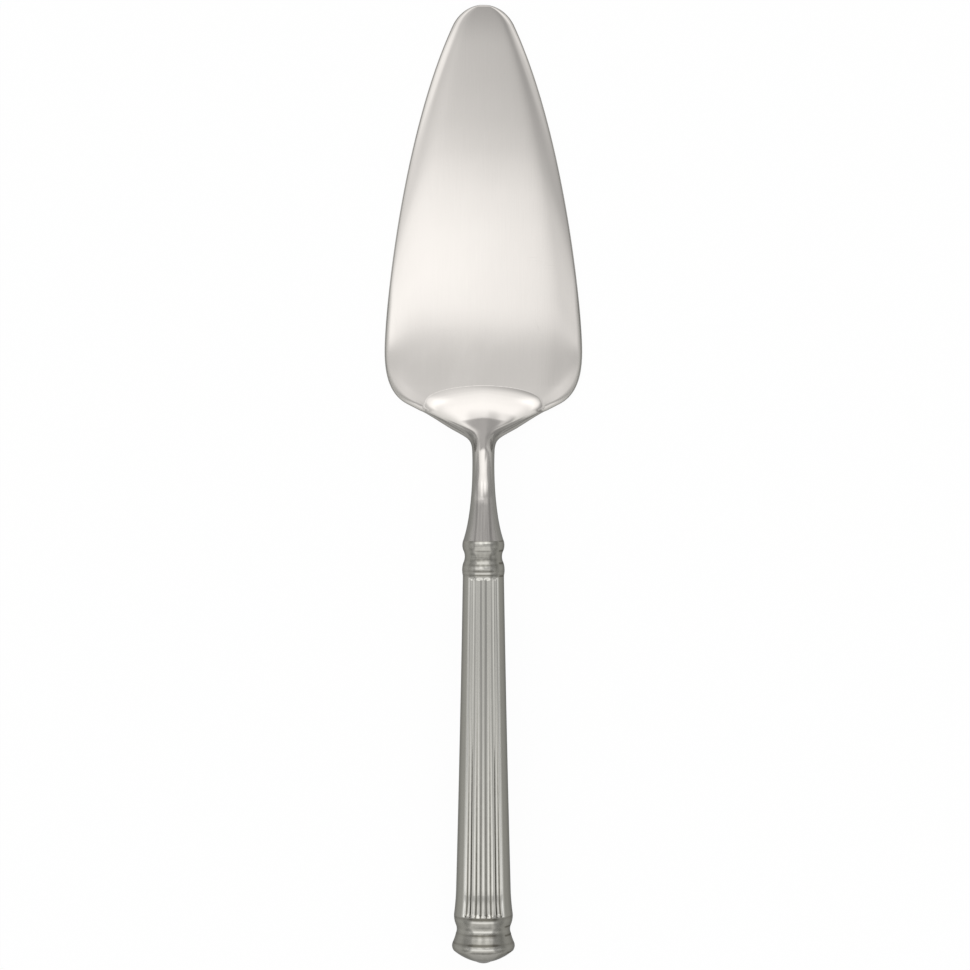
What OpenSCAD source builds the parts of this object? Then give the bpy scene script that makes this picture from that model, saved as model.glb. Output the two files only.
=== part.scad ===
// Cake server: a flat blade on a swan neck, set in a hollow handle of two pressed halves.
// Millimetres. +Y points to the tip of the blade and +Z up; the origin is on the table, under the middle.

/* [Blade] */
// Length of the flat of the blade, from its tip to the start of the heel bend
blade_l = 105.4; // [85:0.1:130]
// Greatest width of the blade
blade_w = 54.6; // [44:0.2:66]
// Thickness of the blade along its middle, at the heel
blade_t = 1.4; // [1.4:0.1:2.2]
// Thickness of the blade along its middle, at the tip
tip_t = 1.3; // [1.1:0.05:1.4]
// Thickness of the rounded rim
rim_t = 1.1; // [0.6:0.05:1.1]

/* [Neck] */
// Reach of the neck, seen from above, from the heel bend to the handle
neck_reach = 42.4; // [36:0.1:50]
// Width of the neck where it is narrowest
neck_w = 5.8; // [5:0.1:7]
// Thickness of the neck where it is narrowest
neck_t = 4.6; // [3.6:0.1:5]
// Height of the handle's axis above the table, where the neck meets the handle
joint_h = 13.1; // [12:0.1:14]
// Steepest part of the neck, as a share of the angle of two bends with no straight between them
steep_share = 0.77; // [0.7:0.01:0.86]
// Radius of the upward bend at the heel, as a share of the radii of both bends
heel_bend_share = 0.46; // [0.36:0.01:0.54]
// Half the width of the scoop in which the blade turns up to the neck
scoop_w = 15.9; // [14:0.1:18]
// How far the ends of the scoop's edge lie behind its middle, seen from above
scoop_l = 4.4; // [3.5:0.1:5]
// Angle of the crease along the scoop's edge
scoop_crease = 3; // [2:0.1:5]
// Half width of the spine in which the thickness of the neck runs out into the blade
spine_w = 3.5; // [2.5:0.1:4.5]
// Straight part of the shank next to the handle, as a share of the neck's reach
shank_share = 0.234; // [0.18:0.01:0.27]

/* [Handle] */
// Length of the handle along its axis
handle_l = 116.2; // [100:0.1:140]
// Radius of the mouth, flush with the bolster of the blade
mouth_r = 5.5; // [5:0.05:6]
// Radius at the upper end of the fluted shaft
shaft_top_r = 5.62; // [5.5:0.02:6.2]
// Radius at the lower end of the plain taper of the shaft
shaft_low_r = 7.5; // [7:0.02:7.9]
// Radius of the flare in which the flutes end
flare_r = 8.06; // [7.9:0.02:8.4]
// Radius of the fillet either side of the pommel's cove
cove_rim_r = 7.56; // [7.2:0.02:7.8]
// Radius of the pommel
pommel_r = 8.6; // [8.3:0.02:9]
// Thickness of the pressed sheet
wall = 1.2; // [1.1:0.05:1.4]

/* [Flutes] */
// Number of flutes on each face
flute_count = 4; // [2:2:4]
// Angle between neighbouring flutes
flute_pitch = 21.5; // [21:0.25:23]
// Depth of the flutes at the upper end
flute_top_depth = 0.5; // [0.4:0.01:0.54]
// Depth of the flutes in the flare
flute_low_depth = 0.7; // [0.5:0.01:0.72]
// Radius of the hollow of a flute at the upper end
flute_top_r = 1.02; // [0.9:0.02:1.06]
// Radius of the hollow of a flute at the lower end
flute_low_r = 1.46; // [1.2:0.02:1.5]

/* [Tang] */
// Length of the tang beyond the mouth of the handle
tang_l = 52; // [30:1:70]
// Width of the tang at its root
tang_w = 6; // [4:0.1:7]
// Thickness of the tang
tang_t = 3; // [2:0.1:4]
// Radius of the notches that key the tang in the cement
notch_r = 1; // [0.6:0.1:1.2]

/* [Fits] */
// Radius of the bore in the mouth of the handle
bore_r = 4.2; // [4:0.02:4.3]
// Length of the spigot that centres the bolster in the bore
spigot_l = 4; // [2.5:0.1:6]
// Clearance around the spigot
spigot_clear = 0.08; // [0.04:0.01:0.15]
// Thickness of the braze between the two halves
braze_t = 0.12; // [0.08:0.01:0.2]
// Height of the pommel above the plane of the blade, so that the server bears on the heel and not on the tip
rest_clear = 0.1; // [0.05:0.01:0.2]

/* [Hidden] */
$fn = 96;
// How far a cutting body runs past the face that it cuts, and a joined body into its neighbour
overrun = 1;

// Handle stations along the axis, as shares of the handle's length
bead_end_share = 0.0235;
cove_end_share = 0.053;
ring_end_share = 0.083;
shaft_end_share = 0.828;
flare_end_share = 0.882;
lower_bead_end_share = 0.907;
pommel_cove_end_share = 0.928;
pommel_start_share = 0.949;
pommel_end_share = 0.9675;
dome_share = 0.9945;
pommel_axis_share = 0.957;
// Heights of the arcs between those stations, as shares of the mouth radius, outward positive
bead_bulge_share = 0.045;
cove_bulge_share = -0.075;
ring_bulge_share = 0.044;
shaft_bulge_share = -0.02;
flare_bulge_share = -0.014;
lower_bead_bulge_share = 0.03;
pommel_cove_bulge_share = -0.045;
pommel_rise_bulge_share = -0.012;
pommel_bulge_share = 0.054;
dome_bulge_share = 0.07;
tip_bulge_share = 0.02;
// Radii of the pommel's turns, as shares of the pommel radius
pommel_start_r_share = 0.975;
pommel_end_r_share = 0.955;
dome_r_share = 0.26;
// Steps in each arc of the handle's outline and in each end of a flute
arc_steps = 8;

// The handle slopes so that its pommel comes down to the table
pommel_axis_l = handle_l * pommel_axis_share;
pommel_reach = sqrt(pommel_axis_l ^ 2 + pommel_r ^ 2);
slope = asin((joint_h - rest_clear) / pommel_reach) - atan2(pommel_r, pommel_axis_l);
overall_l = blade_l + neck_reach + handle_l * cos(slope);
tip_y = overall_l / 2;
heel_y = tip_y - blade_l;
joint_y = heel_y - neck_reach;

// The neck's path carries its top at the height of the blade's, which flows into the top of the handle
hang = mouth_r - blade_t;
path_reach = neck_reach + hang * sin(slope);
path_h = joint_h + hang * cos(slope);

// Swan neck: a crease, two bends and the straight rise between them, which end in line with the handle
shank_l = shank_share * neck_reach;
bend_dy = path_reach - shank_l * cos(slope);
bend_dz = path_h + shank_l * sin(slope);
rise_a = 2 * atan2(bend_dz, bend_dy) * steep_share;
bends_dy = sin(rise_a) - heel_bend_share * sin(scoop_crease) + (1 - heel_bend_share) * sin(slope);
bends_dz = heel_bend_share * cos(scoop_crease) + (1 - heel_bend_share) * cos(slope) - cos(rise_a);
bends_turn = bends_dy * sin(rise_a) - bends_dz * cos(rise_a);
bend_sum = (bend_dy * sin(rise_a) - bend_dz * cos(rise_a)) / bends_turn;
rise_l = (bend_dz * bends_dy - bend_dy * bends_dz) / bends_turn;
heel_bend_r = bend_sum * heel_bend_share;
neck_bend_r = bend_sum - heel_bend_r;
crease_d = heel_bend_r * sin(scoop_crease);
bend_1 = heel_bend_r * sin(rise_a) - crease_d;
bend_2 = bend_1 + rise_l * cos(rise_a);
bend_3 = bend_2 + neck_bend_r * (sin(rise_a) + sin(slope));
rise_1 = heel_bend_r * (cos(scoop_crease) - cos(rise_a));
rise_2 = rise_1 + rise_l * sin(rise_a);
rise_3 = rise_2 + neck_bend_r * (cos(slope) - cos(rise_a));

// Angle of the neck's path, d beyond the scoop's edge
function path_a(d) =
    d <= 0 ? 0 :
    d < bend_1 ? asin((d + crease_d) / heel_bend_r) :
    d < bend_2 ? rise_a :
    d < bend_3 ? asin(sin(rise_a) - (d - bend_2) / neck_bend_r) : -slope;
// Height of the neck's path, d beyond the scoop's edge
function path_z(d) =
    d <= 0 ? 0 :
    d < bend_1 ? heel_bend_r * (cos(scoop_crease) - cos(path_a(d))) :
    d < bend_2 ? rise_1 + (d - bend_1) * tan(rise_a) :
    d < bend_3 ? rise_2 + neck_bend_r * (cos(path_a(d)) - cos(rise_a)) :
    rise_3 - (d - bend_3) * tan(slope);

function ease(u) = u <= 0 ? 0 : u >= 1 ? 1 : u * u * (3 - 2 * u);
function mix(a, b, u) = a + (b - a) * u;
function curve_at(p, u) =
    (1 - u) ^ 3 * p[0] + 3 * (1 - u) ^ 2 * u * p[1] + 3 * (1 - u) * u ^ 2 * p[2] + u ^ 3 * p[3];
// Points along a curve of four control points, without its first
function curve(p, steps) = [for (i = [1 : steps]) curve_at(p, i / steps)];

// Outline of the blade, seen from above: shares of half its width and of its length from the heel
tip_shares = [[0, 1], [0.137, 1], [0.255, 0.977], [0.312, 0.945]];
side_shares = [[0.312, 0.945], [0.819, 0.6615], [1, 0.2], [1, 0.0916]];
shoulder_shares = [[1, 0.0916], [1, 0.0205], [0.933, -0.0255], [0.77, -0.0472]];
base_shares = [[0.77, -0.0472], [0.6, -0.07], [0.43, -0.0925], [0.262, -0.1142]];
root_share = [0.168, -0.1272];
// Outline of the neck: shares of half its width and of its reach from the heel
foot_shares = [[1.11, 0.33], [1.06, 0.412]];
flare_shares = [[0.98, 0.556], [1.055, 0.83]];
// Share of the neck's reach at which its thickness is full
neck_full_share = 0.45;
// Shares of the neck's reach between which its section turns from a plate to an oval
oval_shares = [0.19, 0.45];
// Share of the neck's thickening that reaches the rims of the scoop
side_share = 0.7;
// Share of the scoop's half width past which its edge runs straight
scoop_end_share = 0.99;
// How steeply the top of the blade falls to its rim
crown_power = 4;
// Points across the flat of a section and around each rounded rim
flat_steps = 16;
rim_steps = 6;
tip_steps = 7;
// How far along the tip's curve its first section lies
nose_share = 0.04;
side_steps = 10;
shoulder_steps = 7;
base_steps = 6;
foot_steps = 6;
flare_steps = 10;

function on_blade(s) = [s[0] * blade_w / 2, heel_y + s[1] * blade_l];
function on_neck(s) = [s[0] * neck_w / 2, heel_y - s[1] * neck_reach];
outline = concat(
    [curve_at([for (s = tip_shares) on_blade(s)], nose_share)],
    curve([for (s = tip_shares) on_blade(s)], tip_steps),
    curve([for (s = side_shares) on_blade(s)], side_steps),
    curve([for (s = shoulder_shares) on_blade(s)], shoulder_steps),
    curve([for (s = base_shares) on_blade(s)], base_steps),
    curve([on_blade(base_shares[3]), on_blade(root_share), on_neck(foot_shares[0]), on_neck(foot_shares[1])],
        foot_steps),
    curve([on_neck(foot_shares[1]), on_neck(flare_shares[0]), on_neck(flare_shares[1]),
        [mouth_r, heel_y - path_reach]],
        flare_steps));

// Share of the way from the blade's section to the neck's, and from the neck's to the bolster's
function neck_share(y) = ease((heel_y - y) / (neck_full_share * neck_reach));
function oval_share(y) = ease(((heel_y - y) / neck_reach - oval_shares[0]) / (oval_shares[1] - oval_shares[0]));
function bolster_share(w, y) =
    y > heel_y - neck_full_share * neck_reach ? 0 : max(0, (w - neck_w / 2) / (mouth_r - neck_w / 2));
function blade_mid_t(y) = mix(blade_t, tip_t, max(0, y - heel_y) / blade_l);
function core_t(y) = mix(blade_mid_t(y), neck_t, neck_share(y));
function mid_t(w, y) = mix(core_t(y), 2 * mouth_r, bolster_share(w, y));
// How far the scoop's edge lies behind the heel line, x off the middle
function scoop_bow(x) =
    let (u = abs(x) / scoop_w, near = min(u, scoop_end_share), q = sqrt(1 - near ^ 2))
    scoop_l * (1 - q + (u - near) * near / q);
// Place along the middle whose bend and thickness hold at a point, which outside the scoop is the heel line
function local_y(x, y) = y >= heel_y ? y : min(heel_y, y + scoop_bow(x));
// Thickness beside the spine, thickness of the rim, and the spine's share of the difference
function side_t(y) = mix(blade_mid_t(y), core_t(y), side_share);
function edge_t(w, y) = min(w, side_t(local_y(w, y)) - blade_mid_t(y) + rim_t);
function spine_share(x) = 1 / (1 + (x / spine_w) ^ 2);
// Rounding of the very tip, as a share of the full thickness
function tip_round(d) = d >= rim_t / 2 ? 1 : sqrt(1 - (1 - 2 * d / rim_t) ^ 2);

// Section across the blade: across, and up from its lowest face
function top_t(x, y) = mix(side_t(local_y(x, y)), core_t(local_y(x, y)), spine_share(x));
function plate_points(w, y, e) = concat(
    [for (i = [0 : flat_steps - 1]) [mix(e - w, w - e, i / flat_steps), 0]],
    [for (i = [0 : rim_steps - 1]) [w - e + e * sin(180 * i / rim_steps), e - e * cos(180 * i / rim_steps)]],
    [for (i = [0 : flat_steps - 1]) let (u = 1 - 2 * i / flat_steps, x = u * (w - e))
        [x, 2 * e + (top_t(x, y) - 2 * e) * (1 - abs(u) ^ crown_power)]],
    [for (i = [0 : rim_steps - 1]) [e - w - e * sin(180 * i / rim_steps), e + e * cos(180 * i / rim_steps)]]);
// Angles of the same points around a round or oval section
ring_angles = concat(
    [for (i = [0 : flat_steps - 1]) 225 + 90 * i / flat_steps],
    [for (i = [0 : rim_steps - 1]) 315 + 90 * i / rim_steps],
    [for (i = [0 : flat_steps - 1]) 45 + 90 * i / flat_steps],
    [for (i = [0 : rim_steps - 1]) 135 + 90 * i / rim_steps]);
function oval_points(w, t) = [for (a = ring_angles) [w * cos(a), t / 2 * (1 + sin(a))]];
function section_points(w, y, e) =
    mix(plate_points(w, y, e), oval_points(w, mid_t(w, y)), oval_share(local_y(w, y)));

// One ring of points, laid on the neck's path, with the neck's thickness hanging below it
function ring_points(w, y) =
    let (e = edge_t(w, y) / 2, flat = tip_round(tip_y - y), bolster_t = mid_t(w, y) - core_t(y))
    [for (p = section_points(w, y, e))
        let (near_y = local_y(p[0], y), d = heel_y - near_y)
        let (n = e * (1 - flat) + p[1] * flat - core_t(near_y) + blade_mid_t(near_y) - bolster_t)
        [p[0], y + n * sin(path_a(d)), path_z(d) + n * cos(path_a(d))]];

ring_size = 2 * flat_steps + 2 * rim_steps;
ring_total = len(outline);
forging_points = [for (s = outline) each ring_points(s[0], s[1])];
forging_sides = [for (i = [0 : ring_total - 2], j = [0 : ring_size - 1])
    let (a = i * ring_size + j, b = i * ring_size + (j + 1) % ring_size)
    each [[a, a + ring_size, b], [b, a + ring_size, b + ring_size]]];
forging_tip = [[for (j = [0 : ring_size - 1]) (j + ring_size - 1) % ring_size]];
forging_end = [[for (j = [ring_size - 1 : -1 : 0]) (ring_total - 1) * ring_size + j]];

// Arc from one point to the next with a given height, without its first point
function arc_points(p, q, bulge) =
    let (chord = norm(q - p), side = [q[1] - p[1], p[0] - q[0]] / chord)
    abs(bulge) < chord / 10000 ? [q] :
    let (r = (chord ^ 2 / 4 + bulge ^ 2) / (2 * bulge), half = asin(chord / 2 / r))
    let (middle = (p + q) / 2 - side * (r - bulge))
    [for (i = [1 : arc_steps])
        let (a = mix(-half, half, i / arc_steps))
        middle + r * (side * cos(a) + (q - p) / chord * sin(a))];

// Outline of the handle, radius against distance from the mouth
handle_turns = [
    [mouth_r, 0, 0],
    [mouth_r, bead_end_share, bead_bulge_share],
    [mouth_r, cove_end_share, cove_bulge_share],
    [shaft_top_r, ring_end_share, ring_bulge_share],
    [shaft_low_r, shaft_end_share, shaft_bulge_share],
    [flare_r, flare_end_share, flare_bulge_share],
    [cove_rim_r, lower_bead_end_share, lower_bead_bulge_share],
    [cove_rim_r, pommel_cove_end_share, pommel_cove_bulge_share],
    [pommel_r * pommel_start_r_share, pommel_start_share, pommel_rise_bulge_share],
    [pommel_r * pommel_end_r_share, pommel_end_share, pommel_bulge_share],
    [pommel_r * dome_r_share, dome_share, dome_bulge_share],
    [0, 1, tip_bulge_share]];
function turn_point(i) = [handle_turns[i][0], handle_turns[i][1] * handle_l];
handle_outline = concat([[0, 0], turn_point(0)],
    [for (i = [1 : len(handle_turns) - 1])
        each arc_points(turn_point(i - 1), turn_point(i), handle_turns[i][2] * mouth_r)]);

// Outline of the hollow inside the handle
function inside(i) = [handle_turns[i][0] - wall, handle_turns[i][1] * handle_l];
hollow_outline = [
    [0, 0],
    [bore_r, 0],
    [bore_r, ring_end_share * handle_l],
    inside(4),
    inside(5),
    inside(6),
    inside(7),
    [pommel_r * pommel_start_r_share - wall, pommel_start_share * handle_l],
    [pommel_r * pommel_end_r_share - wall, pommel_end_share * handle_l - wall / 2],
    [pommel_r * dome_r_share, dome_share * handle_l - wall],
    [0, handle_l - wall]];

// Whole outline from the half on one side of the axis, whose first and last points lie on the axis
function both_sides(p) = concat(p, [for (i = [len(p) - 2 : -1 : 1]) [-p[i][0], p[i][1]]]);

// Axis of a flute's cutter: both ends, as radius against distance from the mouth
flute_top = [shaft_top_r + flute_top_r - flute_top_depth, ring_end_share * handle_l + flute_top_r / 2];
flute_low = [flare_r + flute_low_r - flute_low_depth, flare_end_share * handle_l - flute_low_r / 2];
flute_l = norm(flute_low - flute_top);
flute_tilt = atan2(flute_low[0] - flute_top[0], flute_low[1] - flute_top[1]);

module in_handle() {
    translate([0, joint_y, joint_h]) rotate([90 + slope, 0, 0]) children();
}

// Long tapered body with round ends that cuts one flute, lying over the +Y side of the handle's axis
module flute_cutter() {
    translate([0, flute_top[0], flute_top[1]])
        rotate([-flute_tilt, 0, 0])
            rotate_extrude($fn = 48)
                polygon(concat(
                    [for (i = [0 : arc_steps]) let (a = 90 * i / arc_steps)
                        [flute_top_r * sin(a), -flute_top_r * cos(a)]],
                    [for (i = [0 : arc_steps]) let (a = 90 * i / arc_steps)
                        [flute_low_r * cos(a), flute_l + flute_low_r * sin(a)]]));
}

// Half of the hollow handle on the +Y side of its axis, clear of the braze
module half_shell() {
    difference() {
        rotate_extrude() difference() {
            polygon(handle_outline);
            polygon(hollow_outline);
        }
        translate([-2 * pommel_r, braze_t / 2 - 4 * pommel_r, -overrun])
            cube([4 * pommel_r, 4 * pommel_r, handle_l + 2 * overrun]);
        for (i = [0 : flute_count - 1])
            rotate([0, 0, (i - (flute_count - 1) / 2) * flute_pitch]) flute_cutter();
    }
}

module tang_form() {
    translate([0, 0, -overrun]) cylinder(r = bore_r - spigot_clear, h = spigot_l + overrun);
    difference() {
        rotate([90, 0, 0])
            linear_extrude(height = tang_t, center = true)
                polygon([
                    [-tang_w / 2, spigot_l - overrun],
                    [tang_w / 2, spigot_l - overrun],
                    [tang_w / 2 - notch_r, tang_l - notch_r],
                    [tang_w / 2 - 2 * notch_r, tang_l],
                    [2 * notch_r - tang_w / 2, tang_l],
                    [notch_r - tang_w / 2, tang_l - notch_r]]);
        for (side = [-1, 1], far = [1 / 2, 3 / 4])
            translate([side * tang_w / 2, 0, far * tang_l])
                rotate([90, 0, 0]) cylinder(r = notch_r, h = tang_t + 2 * overrun, center = true, $fn = 32);
    }
}

module blade() {
    color("silver") union() {
        polyhedron(points = forging_points, faces = concat(forging_sides, forging_tip, forging_end));
        in_handle() tang_form();
    }
}

module handle_front_shell() {
    color("gainsboro") in_handle() half_shell();
}

module handle_back_shell() {
    color("darkgray") in_handle() rotate([0, 0, 180]) half_shell();
}

module seam_braze() {
    color("goldenrod") in_handle() rotate([90, 0, 0])
        linear_extrude(height = braze_t, center = true) difference() {
            polygon(both_sides(handle_outline));
            polygon(both_sides(hollow_outline));
        }
}

module handle_cement() {
    color("tan") in_handle() difference() {
        rotate_extrude() polygon(hollow_outline);
        translate([-2 * bore_r, -2 * bore_r, -overrun]) cube([4 * bore_r, 4 * bore_r, spigot_l + overrun]);
        tang_form();
    }
}

blade();
handle_front_shell();
handle_back_shell();
seam_braze();
handle_cement();
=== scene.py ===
"""Dressed cake server: a polished blade on a swan neck, set in a fluted hollow handle."""

import logging
import math
from dataclasses import dataclass
from enum import Enum
from functools import reduce
from operator import mul
from typing import Sequence, Union

import bmesh
import bpy
from mathutils import Matrix, Vector


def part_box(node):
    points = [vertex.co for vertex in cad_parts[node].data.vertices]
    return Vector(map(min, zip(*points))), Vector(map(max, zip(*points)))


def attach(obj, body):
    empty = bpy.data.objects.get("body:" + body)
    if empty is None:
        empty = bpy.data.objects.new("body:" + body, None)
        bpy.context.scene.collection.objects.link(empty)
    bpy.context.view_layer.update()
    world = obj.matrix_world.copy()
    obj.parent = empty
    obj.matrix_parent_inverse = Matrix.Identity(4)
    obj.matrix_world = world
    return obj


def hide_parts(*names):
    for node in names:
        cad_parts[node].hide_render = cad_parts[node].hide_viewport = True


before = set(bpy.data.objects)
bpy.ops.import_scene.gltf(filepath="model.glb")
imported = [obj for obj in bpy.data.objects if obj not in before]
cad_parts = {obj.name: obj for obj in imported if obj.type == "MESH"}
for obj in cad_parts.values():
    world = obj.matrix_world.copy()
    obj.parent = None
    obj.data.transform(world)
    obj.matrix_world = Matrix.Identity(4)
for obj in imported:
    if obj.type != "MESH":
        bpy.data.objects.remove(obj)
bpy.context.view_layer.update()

LOG = logging.getLogger("cake_server")
MM = 0.001
BODY = "root"
FLANK = "flank_shade"
PAINTED_LIGHT = "painted_light"
Number = Union["Wire", float]
Point = tuple[float, float]
Colour = Union["Wire", Sequence[float]]


class Slot(Enum):
    """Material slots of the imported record."""

    SATIN = "satin_steel"
    POLISHED = "polished_steel"
    BRAZE = "braze"
    CEMENT = "cement"


class Side(Enum):
    """The two pressings of the handle, as turns about its axis."""

    FRONT = 0.0
    BACK = math.pi


class Face(Enum):
    """The four runs around a section, as the angles at which they start on the neck's oval."""

    BOTTOM = math.radians(225.0)
    RIGHT = math.radians(315.0)
    TOP = math.radians(45.0)
    LEFT = math.radians(135.0)


def ease(u: float) -> float:
    """Smooth step from 0 to 1."""
    u = min(1.0, max(0.0, u))
    return u * u * (3.0 - 2.0 * u)


def mix(a: float, b: float, u: float) -> float:
    """Value that lies the share u of the way from a to b."""
    return a + (b - a) * u


def between(value: float, low: float, high: float) -> float:
    """Smooth step that is 0 at low and 1 at high."""
    return ease((value - low) / (high - low))


def bell(value: float, middle: float, width: float) -> float:
    """Bell curve that is 1 in the middle."""
    return math.exp(-((value - middle) / width) ** 2)


def bezier(points: Sequence[Point], u: float) -> Point:
    """Point on a curve of four control points.

    Args:
        points: the control points.
        u: share of the way along the curve.

    Returns:
        The point at u.
    """
    a, b, c, d = points
    weights = ((1 - u) ** 3, 3 * (1 - u) ** 2 * u, 3 * (1 - u) * u ** 2, u ** 3)
    return tuple(sum(w * p[i] for w, p in zip(weights, (a, b, c, d))) for i in (0, 1))


class Wire:
    """A node socket that takes part in arithmetic."""

    def __init__(self, board: "Board", socket: bpy.types.NodeSocket) -> None:
        """Keeps the socket and the board that it belongs to."""
        self.board = board
        self.socket = socket

    def __add__(self, other: Number) -> "Wire":
        """Sum."""
        return self.board.math("ADD", self, other)

    def __radd__(self, other: Number) -> "Wire":
        """Sum with a number on the left."""
        return self.board.math("ADD", other, self)

    def __sub__(self, other: Number) -> "Wire":
        """Difference."""
        return self.board.math("SUBTRACT", self, other)

    def __rsub__(self, other: Number) -> "Wire":
        """Difference with a number on the left."""
        return self.board.math("SUBTRACT", other, self)

    def __mul__(self, other: Number) -> "Wire":
        """Product."""
        return self.board.math("MULTIPLY", self, other)

    def __rmul__(self, other: Number) -> "Wire":
        """Product with a number on the left."""
        return self.board.math("MULTIPLY", other, self)

    def __truediv__(self, other: Number) -> "Wire":
        """Quotient."""
        return self.board.math("DIVIDE", self, other)

    def __rtruediv__(self, other: Number) -> "Wire":
        """Quotient with a number on the left."""
        return self.board.math("DIVIDE", other, self)

    def __abs__(self) -> "Wire":
        """Size without sign."""
        return self.board.math("ABSOLUTE", self, 0.0)

    def most(self, other: Number) -> "Wire":
        """Greater of the two."""
        return self.board.math("MAXIMUM", self, other)

    def ease(self, low: float, high: float) -> "Wire":
        """Smooth step that is 0 at low and 1 at high."""
        if low > high:
            return 1.0 - self.ease(high, low)
        return self.board.node(
            "ShaderNodeMapRange",
            {"interpolation_type": "SMOOTHSTEP", "clamp": True},
            {"Value": self, "From Min": low, "From Max": high, "To Min": 0.0, "To Max": 1.0},
        )


class Board:
    """The node tree of one material or of the world."""

    def __init__(self, tree: bpy.types.NodeTree) -> None:
        """Takes over an empty tree."""
        self.tree = tree
        tree.nodes.clear()

    def node(self, kind: str, settings: dict, sockets: dict, out: Union[int, str] = 0) -> Wire:
        """Adds one node.

        Args:
            kind: type of the node.
            settings: its properties, set first; "stops" gives the stops of a ramp.
            sockets: values or wires of its inputs, by name or number.
            out: the output that is wanted.

        Returns:
            The output as a wire.
        """
        made = self.tree.nodes.new(kind)
        for name, value in settings.items():
            if name == "stops":
                self._stops(made.color_ramp, value)
            else:
                setattr(made, name, value)
        for name, value in sockets.items():
            if isinstance(value, Wire):
                self.tree.links.new(value.socket, made.inputs[name])
            else:
                made.inputs[name].default_value = value
        return Wire(self, made.outputs[out] if len(made.outputs) else None)

    @staticmethod
    def _stops(ramp: bpy.types.ColorRamp, stops: Sequence[Point]) -> None:
        """Sets a grey ramp's stops, each a place from 0 to 1 and a value."""
        ramp.interpolation = "EASE"
        while len(ramp.elements) < len(stops):
            ramp.elements.new(1.0)
        for element, (place, value) in zip(ramp.elements, stops):
            element.position = place
            element.color = (value, value, value, 1.0)

    def math(self, operation: str, a: Number, b: Number) -> Wire:
        """Adds one Math node."""
        return self.node("ShaderNodeMath", {"operation": operation}, {0: a, 1: b})

    def blend(self, share: Number, a: Colour, b: Colour) -> Wire:
        """Colour that lies the given share of the way from a to b."""
        return self.node("ShaderNodeMix", {"data_type": "RGBA"}, {0: share, 6: a, 7: b}, 2)

    def grey(self, value: Wire) -> Wire:
        """Colour of equal parts from a value."""
        return self.node("ShaderNodeCombineColor", {}, {0: value, 1: value, 2: value})

    def shaded(self, colour: Wire, share: Wire) -> Wire:
        """Colour times a value."""
        return self.node("ShaderNodeMix", {"data_type": "RGBA", "blend_type": "MULTIPLY"},
                         {0: 1.0, 6: colour, 7: self.grey(share)}, 2)

    def ramp(self, place: Wire, stops: Sequence[Point]) -> Wire:
        """Value at a place on a ramp."""
        return self.node("ShaderNodeValToRGB", {"stops": stops}, {0: place})

    def attribute(self, name: str) -> Wire:
        """Value that the points of the piece carry."""
        return self.node("ShaderNodeAttribute", {"attribute_name": name}, {}, "Fac")

    def place(self) -> Wire:
        """Object coordinates of the surface, in metres."""
        return self.node("ShaderNodeTexCoord", {}, {}, "Object")

    def split(self, vector: Wire) -> tuple[Wire, Wire, Wire]:
        """The three parts of a vector."""
        first = self.node("ShaderNodeSeparateXYZ", {}, {0: vector})
        outputs = first.socket.node.outputs
        return first, Wire(self, outputs[1]), Wire(self, outputs[2])

    def noise(self, turn: float, scale: Sequence[float], detail: float, rough: float = 0.5) -> Wire:
        """Noise over the surface.

        Args:
            turn: turn of the pattern about the vertical, in degrees.
            scale: grains for each metre along the three turned axes.
            detail: octaves.
            rough: weight of the finer octaves.

        Returns:
            The noise, about 0.5 on average.
        """
        turned = self.node("ShaderNodeMapping", {"vector_type": "POINT"},
                           {"Vector": self.place(), "Rotation": (0.0, 0.0, math.radians(turn))})
        scaled = self.node("ShaderNodeVectorMath", {"operation": "MULTIPLY"},
                           {0: turned, 1: tuple(scale)})
        return self.node("ShaderNodeTexNoise", {"noise_dimensions": "3D"},
                         {"Vector": scaled, "Scale": 1.0, "Detail": detail, "Roughness": rough})

    def bump(self, height: Wire, strength: float, distance: float) -> Wire:
        """Normal from a height."""
        return self.node("ShaderNodeBump", {},
                         {"Height": height, "Strength": strength, "Distance": distance})

    def surface(self, sockets: dict) -> None:
        """Ends a material in one Principled shader with the given sockets."""
        shader = self.node("ShaderNodeBsdfPrincipled", {}, sockets)
        self.node("ShaderNodeOutputMaterial", {}, {"Surface": shader})


def new_material(name: str) -> tuple[bpy.types.Material, Board]:
    """Makes an empty material.

    Args:
        name: name of the material.

    Returns:
        The material and its board.
    """
    made = bpy.data.materials.new(name)
    made.use_nodes = True
    return made, Board(made.node_tree)


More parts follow.
